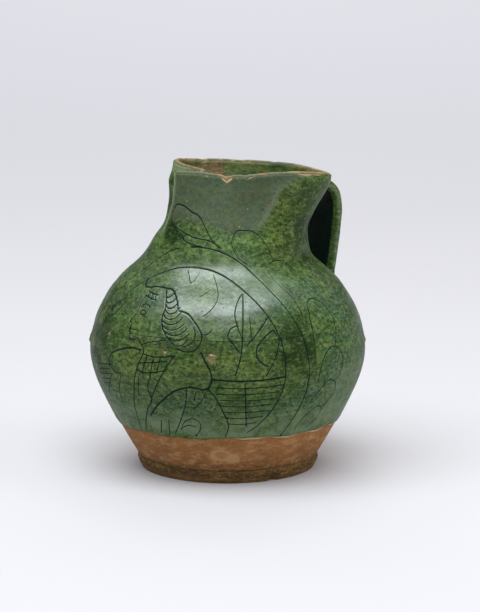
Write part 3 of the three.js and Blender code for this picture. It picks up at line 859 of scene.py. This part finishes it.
# Pale lines: worn glaze along the fold and on the rim at the far pinch, a painted highlight along the fold,
# and a painted highlight along the near lobe's edge where the neck turns away
limb = smooth_through([
    (150, -22), (165, -14), (170, -11), (175, -9.5), (180, -7.2), (184, -6.2), (197, -5.5),
])
off_limb = (angle - limb(up_neck) - 2.5) / 2.5
crest_highlight = np.maximum.reduce([
    0.5 * np.exp(-((past_fold + 1.2) / 1.6) ** 2) * ease((z - 160) / 10),
    1.0 * np.exp(-off_limb ** 2) * ease((z - 156) / 10),
    0.7 * np.exp(-(turned_from(angle, 280) / 12) ** 4) * ease((z - 190) / 2.5),
])
lines = z + 4 * wavering(angle, z, 0.04, 0.02, 11)
gleam = np.exp(-((lines - 121) / 8) ** 2)
gleam += np.exp(-((lines - 141) / 6.5) ** 2) * ease((70 - angle) / 14)
glossed = (0.1 + 0.4 * ease((z - 88) / 14) * ease((156 - z) / 10) + 0.65 * gleam) * (1 - 0.8 * greyed_and_sheen)
glossed *= 1 - 0.7 * np.clip(depth_and_painted_light, 0, 1)
layers = {"incised": pooled, "spalled": burst, "greyed_and_sheen": greyed_and_sheen, "worn": crest_highlight,
          "toned_and_sheen": toned_and_sheen, "depth_and_painted_light": depth_and_painted_light, "glossed": glossed}
for name, values in layers.items():
    paint(glaze, name, np.concatenate([values, hidden]))


# The lining: glaze that ran over the rim and down inside the neck, thin and patchy over the red clay.
# It is a skin on the inner wall of the neck, green at the back and nearly bare towards the far pinch.
LINING = 0.6
LINING_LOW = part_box("mouth_lining")[0][2] / MM
lining_glaze, tree, shader = new_material("lining_glaze", 0.35, 0.25)
covered = sum_of(tree, "ADD", painted(tree, "covered"), clouded(tree, grain=120.0, start=0.2, end=0.8))
covered = stepped(tree, covered, 0.6, 1.0)
green = layered(tree, (0.088, 0.112, 0.026), [
    (clouded(tree, grain=90.0, start=0.4, end=0.58), 1.0, (0.022, 0.05, 0.012)),
    (specked(tree, grain=300.0, size=0.3, few=0.8), 0.5, (0.26, 0.27, 0.13)),
])
bare = washed(tree, (0.16, 0.098, 0.037), clouded(tree, grain=140.0), 1.0, (0.085, 0.07, 0.025))
coloured(tree, shader, washed(tree, bare, covered, 1.0, green))
bumped(tree, shader, clouded(tree, grain=380.0), 0.0003, 0.6)
levels = np.linspace(LINING_LOW, RIM - 0.6, 28)
rows = [on_wall(angles, z, inside(z) - SKIN_GAP) for z in levels]
rows += [on_wall(angles, z, inside(z) - SKIN_GAP - LINING) for z in levels[::-1]]
lining = make_piece("lining_skin", *turned(rows, True), lining_glaze, "lining_glaze", ["mouth_lining"])
angle, radius, z = spots(lining)
angle = angle % 360
covered = 0.75 * ease((angle - 110) / 30) * ease((238 - angle) / 16) + 0.18 * ease((angle - 236) / 20)
paint(lining, "covered", covered * ease((z - 175 + 8 * wavering(angle, z, 0.08, 0.1, 15)) / 8))


# The handle: a flat strap of clay pulled by hand, luted to the neck below the rim and to the shoulder.
# Its outer face is hollowed between two rounded edges, and the same green glaze covers it; on its inner
# face the glaze is painted dark as shade.
STRAP_WIDTH = 34.0
STRAP_THICKNESS = 6.6
HANDLE_REACH = 84.8
BEND = 16.0
SPRING = RIM - 11.8
LANDING = NECK_ROOT - 22.0
STANDOFF = 1.5
root = float(clay_radius(180, SPRING)) - WALL / 2
landed = float(clay_radius(180, LANDING)) + STANDOFF
middle_line = [(root, SPRING)]
for bent in np.radians((0, 30, 60, 90)):
    middle_line.append((HANDLE_REACH - BEND * (1 - math.sin(bent)), SPRING - BEND * (1 - math.cos(bent))))
for fall in (1 / 3, 2 / 3, 1):
    lean = (HANDLE_REACH - landed) * fall ** 1.6
    middle_line.append((HANDLE_REACH - lean, SPRING - BEND + (LANDING - SPRING + BEND) * fall))
middle_line.append((landed - STANDOFF, LANDING - 14))
middle_line = np.array(middle_line)
lengths = np.concatenate([[0], np.cumsum(np.linalg.norm(np.diff(middle_line, axis=0), axis=1))])
strap_y = smooth_through(np.stack([lengths, middle_line[:, 0]], -1))
strap_z = smooth_through(np.stack([lengths, middle_line[:, 1]], -1))
STRAP_LENGTH = lengths[-1]
SECTION = 40
SQUARENESS, FLATNESS = 0.55, 0.7
STRAP_SIDE = (-1.0, 0.0, 0.0)
STRAP_HOLLOW, HOLLOW_SPREAD = 0.9, 0.45
STRAP_UNEVEN, HAND_GRAIN, HAND_SEED = 1.0, 55.0, 3
UNDERSIDE = -0.75
SWELLING = 2.2
FEWEST_STEPS = 16


def new_tree(name, sizes):
    tree = bpy.data.node_groups.new(name, "GeometryNodeTree")
    face = tree.interface
    ids = {}
    for size, kind in {"Geometry": "Geometry", **sizes}.items():
        ids[size] = face.new_socket(size, in_out="INPUT", socket_type="NodeSocket" + kind).identifier
    face.new_socket("Geometry", in_out="OUTPUT", socket_type="NodeSocketGeometry")
    return tree, ids, tree.nodes.new("NodeGroupInput").outputs, tree.nodes.new("NodeGroupOutput").inputs


def finish_tree(tree, geometry, finish, leave):
    solid = out_of(tree, "GeometryNodeRealizeInstances", {"Geometry": geometry})
    dressed = out_of(tree, "GeometryNodeSetMaterial", {"Geometry": solid, "Material": finish})
    tree.links.new(dressed, leave["Geometry"])


def grown(tree, ids, name, bed, values):
    start = set_out(name, bed)
    modifier = start.modifiers.new(name, "NODES")
    modifier.node_group = tree
    for size, value in values.items():
        modifier[ids[size]] = value
    mesh = bpy.data.meshes.new_from_object(start.evaluated_get(bpy.context.evaluated_depsgraph_get()))
    bpy.data.objects.remove(start)
    return mesh


# The strap's section is a flattened ring with a hollow on its outer side, drawn along the middle line.
# Either end can swell, and the potter's hand leaves it a little uneven
pulled, strap_ids, entry, leave = new_tree("Pulled strap", {
    "Width": "Float", "Thickness": "Float", "Hollow": "Float", "Start swell": "Float", "End swell": "Float",
    "Unevenness": "Float", "Seed": "Int", "Finish": "Material",
})
ring = out_of(pulled, "GeometryNodeCurvePrimitiveCircle", {"Resolution": SECTION, "Radius": 1.0})
ring_place = out_of(pulled, "GeometryNodeInputPosition")
spot = add_node(pulled, "ShaderNodeSeparateXYZ", {0: ring_place}).outputs
# The strap's inner face gets painted shade: marked dark through the scratched-line mask, and kept dull
under = sum_of(pulled, "LESS_THAN", spot["Y"], UNDERSIDE)
for name, value in (("incised", under), ("glossed", minus(pulled, 1.0, under))):
    ring = out_of(pulled, "GeometryNodeStoreNamedAttribute", {
        "Geometry": ring, "Name": name, "Value": times(pulled, value, 0.5),
    })


def bulged(value, power, reach):
    size = sum_of(pulled, "POWER", sum_of(pulled, "ABSOLUTE", value), power)
    return times(pulled, size, sum_of(pulled, "SIGN", value), reach)


half = times(pulled, entry["Width"], 0.5)
across = bulged(spot["X"], SQUARENESS, half)
outward = bulged(spot["Y"], FLATNESS, times(pulled, entry["Thickness"], 0.5))
off_middle = sum_of(pulled, "DIVIDE", across, times(pulled, half, HOLLOW_SPREAD))
dip = sum_of(pulled, "EXPONENT", times(pulled, off_middle, off_middle, -1.0))
dip = times(pulled, dip, sum_of(pulled, "GREATER_THAN", spot["Y"], 0.0))
outward = minus(pulled, outward, times(pulled, dip, entry["Hollow"]))
section = out_of(pulled, "ShaderNodeCombineXYZ", {"X": across, "Y": outward})
section = out_of(pulled, "GeometryNodeSetPosition", {"Geometry": ring, "Position": section})
line = out_of(pulled, "GeometryNodeMeshToCurve", {"Mesh": entry["Geometry"]})
line = out_of(pulled, "GeometryNodeSetCurveNormal", {"Curve": line, "Normal": STRAP_SIDE}, mode="FREE")
run = out_of(pulled, "GeometryNodeSplineParameter")
line = out_of(pulled, "GeometryNodeStoreNamedAttribute", {"Geometry": line, "Name": "run", "Value": run})
drawn = {"Curve": line, "Profile Curve": section, "Fill Caps": True}
shaped = out_of(pulled, "GeometryNodeCurveToMesh", drawn)
run = out_of(pulled, "GeometryNodeInputNamedAttribute", {"Name": "run"})
hand = {"W": entry["Seed"], "Scale": HAND_GRAIN, "Detail": 1.0}
uneven = out_of(pulled, "ShaderNodeTexNoise", hand, noise_dimensions="4D")
raised = times(pulled, minus(pulled, uneven, 0.5), entry["Unevenness"])
for size, nearness in (("Start swell", minus(pulled, 1.0, run)), ("End swell", run)):
    swell = times(pulled, sum_of(pulled, "POWER", nearness, SWELLING), entry[size])
    raised = sum_of(pulled, "ADD", raised, swell)
facing = out_of(pulled, "GeometryNodeInputNormal")
pushed = out_of(pulled, "ShaderNodeVectorMath", {0: facing, "Scale": raised}, operation="SCALE")
shaped = out_of(pulled, "GeometryNodeSetPosition", {"Geometry": shaped, "Offset": pushed})
shaped = out_of(pulled, "GeometryNodeRemoveAttribute", {"Geometry": shaped, "Name": "run"})
shaped = out_of(pulled, "GeometryNodeSetShadeSmooth", {"Geometry": shaped})
finish_tree(pulled, shaped, entry["Finish"], leave)


def strap_piece(name, start, end, growth, finish, node, start_swell=0.0, end_swell=0.0):
    count = max(FEWEST_STEPS, round((end - start) / FINE_STEP))
    runs = np.linspace(start, end, count)
    points = np.stack([np.zeros(count), strap_y(runs), strap_z(runs)], -1) * MM
    bed = bpy.data.meshes.new(name + "_line")
    bed.from_pydata(points.tolist(), [(i, i + 1) for i in range(count - 1)], [])
    mesh = grown(pulled, strap_ids, name, bed, {
        "Width": (STRAP_WIDTH + 2 * growth) * MM, "Thickness": (STRAP_THICKNESS + 2 * growth) * MM,
        "Hollow": STRAP_HOLLOW * MM, "Start swell": start_swell * MM, "End swell": end_swell * MM,
        "Unevenness": STRAP_UNEVEN * MM, "Seed": HAND_SEED, "Finish": finish,
    })
    add_piece(name, mesh, [node])


strap_piece("strap_clay", 0, STRAP_LENGTH, -0.6, bare_clay, "handle_strap")
strap_piece("strap_glaze", 3, STRAP_LENGTH - 6, 0.75, green_glaze, "handle_glaze")


# The lutings: a collar of soft clay smeared round each end of the strap with a thumb, and glazed over.
# Each starts level with the strap and swells where it meets the wall.
SMEAR = 2.6
LUTED = 0.55
strap_piece("top_luting", 0.5, 13, LUTED, green_glaze,
            "handle_top_luting", start_swell=SMEAR)
strap_piece("foot_luting", STRAP_LENGTH - 26, STRAP_LENGTH - 4, LUTED, green_glaze,
            "handle_foot_luting", end_swell=SMEAR)


# Grit: grains of sand and crushed pot in the clay, which stand out of the bare band above the foot.
# Each grain is fired into the surface. They are strewn over the band by chance.
grit_pale, tree, shader = new_material("grit", 0.8, 0.3)
tone = washed(tree, (0.42, 0.28, 0.15), clouded(tree, grain=60.0), 1.0, (0.16, 0.09, 0.045))
coloured(tree, shader, tone)
rows = wall_rows(outside, FOOT_TOP + 1.5, COAT_LINE - 3)
bed = bpy.data.meshes.new("grit_bed")
bed.from_pydata(np.concatenate(rows).tolist(), [], banded(rings(rows)))

strewn, grit_ids, entry, leave = new_tree("Strewn grains", {
    "Grains per square metre": "Float", "Smallest": "Float", "Largest": "Float", "Seed": "Int",
    "Finish": "Material",
})
spread = add_node(strewn, "GeometryNodeDistributePointsOnFaces", {
    "Mesh": entry["Geometry"], "Density": entry["Grains per square metre"], "Seed": entry["Seed"],
}).outputs
grain = out_of(strewn, "GeometryNodeMeshIcoSphere", {"Radius": 1.0, "Subdivisions": 1})
sizes = add_node(strewn, "FunctionNodeRandomValue", {
    2: entry["Smallest"], 3: entry["Largest"], "Seed": entry["Seed"],
}, data_type="FLOAT").outputs
placed = out_of(strewn, "GeometryNodeInstanceOnPoints", {
    "Points": spread["Points"], "Instance": grain, "Rotation": spread["Rotation"], "Scale": sizes[1],
})
finish_tree(strewn, placed, entry["Finish"], leave)
grit = grown(strewn, grit_ids, "grit_bed", bed, {
    "Grains per square metre": 22000.0, "Smallest": 0.12 * MM, "Largest": 0.42 * MM, "Seed": 7,
    "Finish": grit_pale,
})
# The plain grain leaves an empty material, which goes
grit.materials.pop(index=0)
add_piece("clay_grit", grit)


# The stage: a plain pale studio floor, lit by a wide soft light overhead, a weak one from the right and one
# that only lifts the floor far behind. The floor's paper is a little darker close to the jug than far off.
HALF_FLOOR = 7.0
corners = [(x * HALF_FLOOR, y * HALF_FLOOR, 0) for x, y in ((-1, -1), (1, -1), (1, 1), (-1, 1))]
floor = set_out("floor", bpy.data.meshes.new("floor"))
floor.data.from_pydata(corners, [], [(0, 1, 2, 3)])
paper, tree, shader = new_material("paper", 0.9, 0.1)
spot = add_node(tree, "ShaderNodeTexCoord").outputs["Object"]
far = add_node(tree, "ShaderNodeVectorMath", {0: spot}, operation="LENGTH").outputs["Value"]
tone = washed(tree, (0.515, 0.495, 0.503), stepped(tree, far, 0.3, 2.5), 1.0, (0.55, 0.548, 0.574))
coloured(tree, shader, tone)
floor.data.materials.append(paper)

world = bpy.data.worlds.new("studio")
scene.world = world
world.use_nodes = True
tree = world.node_tree
sky = tree.nodes["Background"]
sky.inputs["Color"].default_value = (0.93, 0.95, 1.0, 1)
SKY_LIGHT, SKY_SEEN_IN_GLOSS = 0.585, 0.08
mirrored = add_node(tree, "ShaderNodeLightPath").outputs["Is Glossy Ray"]
share = {"Value": mirrored, "To Min": SKY_LIGHT, "To Max": SKY_SEEN_IN_GLOSS}
tree.links.new(out_of(tree, "ShaderNodeMapRange", share), sky.inputs["Strength"])


def softbox(name, place, aim, size, power, colour=(1, 1, 1)):
    lamp = bpy.data.lights.new(name, "AREA")
    lamp.shape, lamp.size, lamp.size_y = "RECTANGLE", *size
    lamp.energy, lamp.color = power, colour
    light = set_out(name, lamp)
    light.location = place
    light.rotation_euler = (Vector(aim) - Vector(place)).to_track_quat("-Z", "Y").to_euler()
    return light


CAMERA_AZIMUTH = 50.0
side = math.radians(CAMERA_AZIMUTH)
toward = Vector((math.sin(side), -math.cos(side), 0))
rightward = Vector((math.cos(side), math.sin(side), 0))
upward = Vector((0, 0, 1))
DAYLIGHT = (0.89, 0.96, 1.0)
MID_JUG = (0, 0, 0.1)
overhead = toward * 0.42 - rightward * 0.22 + upward * 1.6
softbox("overhead", overhead, MID_JUG, size=(2.0, 1.3), power=41, colour=DAYLIGHT)
beside = toward * 0.3 + rightward * 1.5 + upward * 0.7
right_fill = softbox("right_fill", beside, MID_JUG, size=(0.9, 0.9), power=8)
right_fill.visible_glossy = False
softbox("backdrop", -toward * 3.6 + upward * 2.6, -toward * 3.6, size=(4.0, 3.0), power=86)

# The camera stands where the photographer stood, two metres off and half a metre up
PHOTO_WIDTH, PHOTO_HEIGHT, FOCAL = 480, 612, 3056
AXIS_AT, BASE_AT = 227.5, 462
SENSOR = 36.0
AWAY, EYE_LEVEL = 2.0, 0.5
camera = set_out("camera", bpy.data.cameras.new("camera"))
camera.data.sensor_width = SENSOR
camera.data.lens = SENSOR * FOCAL / PHOTO_HEIGHT
camera.location = toward * AWAY + upward * EYE_LEVEL
down = math.atan2(EYE_LEVEL, AWAY) - math.atan((BASE_AT - PHOTO_HEIGHT / 2) / FOCAL)
swing = math.atan((PHOTO_WIDTH / 2 - AXIS_AT) / FOCAL)
camera.rotation_euler = (math.pi / 2 - down, 0, side - swing)
scene.camera = camera
scene.view_settings.view_transform = "Standard"
